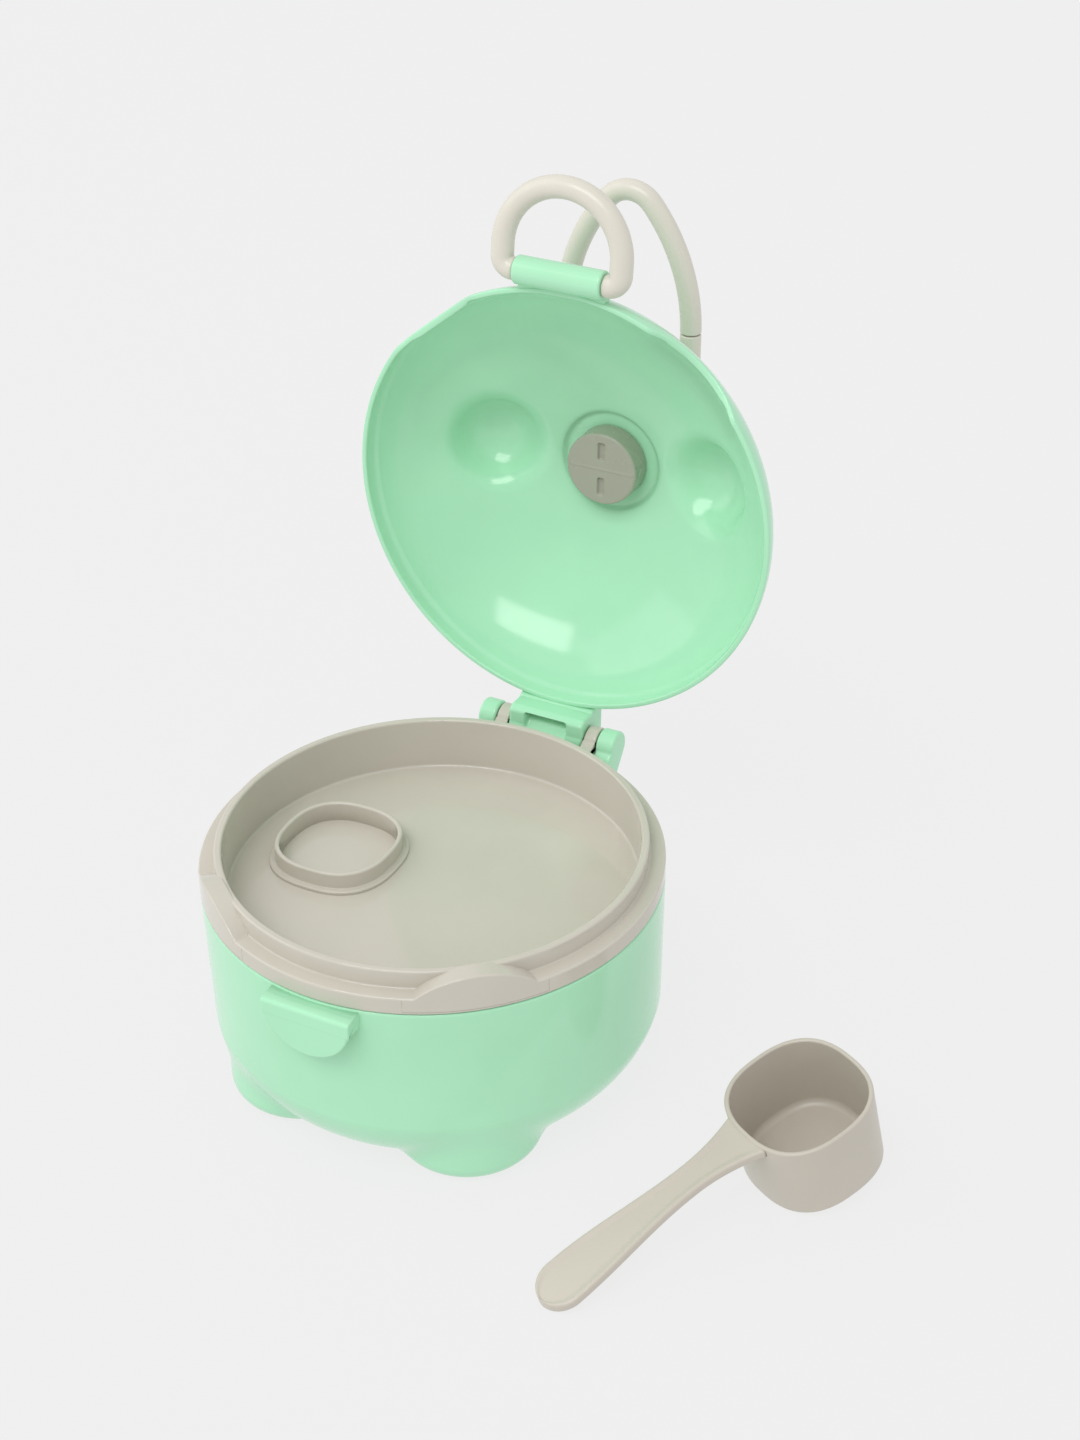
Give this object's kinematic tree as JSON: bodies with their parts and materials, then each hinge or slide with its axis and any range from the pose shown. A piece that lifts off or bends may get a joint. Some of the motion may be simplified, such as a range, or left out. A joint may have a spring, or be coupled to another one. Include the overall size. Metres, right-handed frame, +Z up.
{
  "type": "formula dispenser",
  "caption": "Round footed milk-powder dispenser with a hinged dome lid, a hinged tray lid with a levelling ring, a latch ring, a swivelling carry hook and a loose scoop.",
  "frame": {"origin": "centre of the flat underside of the bowl, on the bowl's axis; the surface it stands on is 4 mm lower", "axes": "+Z up along the bowl's axis, -Y towards the latch, +Y towards the hinge, +X to the right seen from the latch"},
  "size_m": [0.1868, 0.1963, 0.2175],
  "materials": {
    "green_shell": "glossy injection-moulded polypropylene, mint green",
    "grey_part": "glossy injection-moulded polypropylene, warm grey",
    "grey_bar": "glossy injection-moulded polypropylene, warm grey",
    "scoop_plastic": "satin injection-moulded polypropylene, warm grey",
    "silicone": "translucent silicone",
    "steel": "drawn stainless wire"
  },
  "bodies": {
    "bowl": {"bowl": "green_shell", "hinge_pin": "steel"},
    "inner_lid": {"inner_lid": "grey_part", "inner_lid_seal": "silicone"},
    "outer_lid": {"outer_lid": "green_shell"},
    "latch_ring": {"latch_ring": "grey_bar"},
    "carry_hook": {"carry_hook": "grey_bar", "swivel_plug": "grey_bar", "gate_pin": "steel"},
    "hook_gate": {"hook_gate": "grey_bar"},
    "scoop": {"scoop": "scoop_plastic"}
  },
  "joints": [
    {"name": "outer_lid_hinge", "type": "hinge", "parent": "bowl", "child": "outer_lid", "pos_m": [0, 0.0674, 0.0565], "axis": [-1, 0, 0], "range_deg": [-92.5, 0]},
    {"name": "inner_lid_hinge", "type": "hinge", "parent": "bowl", "child": "inner_lid", "pos_m": [0, 0.0674, 0.0565], "axis": [-1, 0, 0], "range_deg": [0, 88]},
    {"name": "latch_ring_pivot", "type": "hinge", "parent": "outer_lid", "child": "latch_ring", "pos_m": [0, 0.07593, 0.18775], "axis": [-1, 0, 0], "range_deg": [-96, 70]},
    {"name": "hook_swivel", "type": "hinge", "parent": "outer_lid", "child": "carry_hook", "pos_m": [0, 0.11388, 0.12193], "axis": [0, 0.999, -0.0436], "range_deg": [-180, 180]},
    {"name": "gate_pivot", "type": "hinge", "parent": "carry_hook", "child": "hook_gate", "pos_m": [0.0186, 0.11423, 0.12993], "axis": [0, -0.999, 0.0436], "range_deg": [0, 30], "stiffness_Nm_per_rad": 0.004, "springref_deg": -11.46},
    {"name": "scoop_lift", "type": "slide", "parent": "bowl", "child": "scoop", "axis": [0, 0, 1], "range_m": [0, 0.15]}
  ]
}
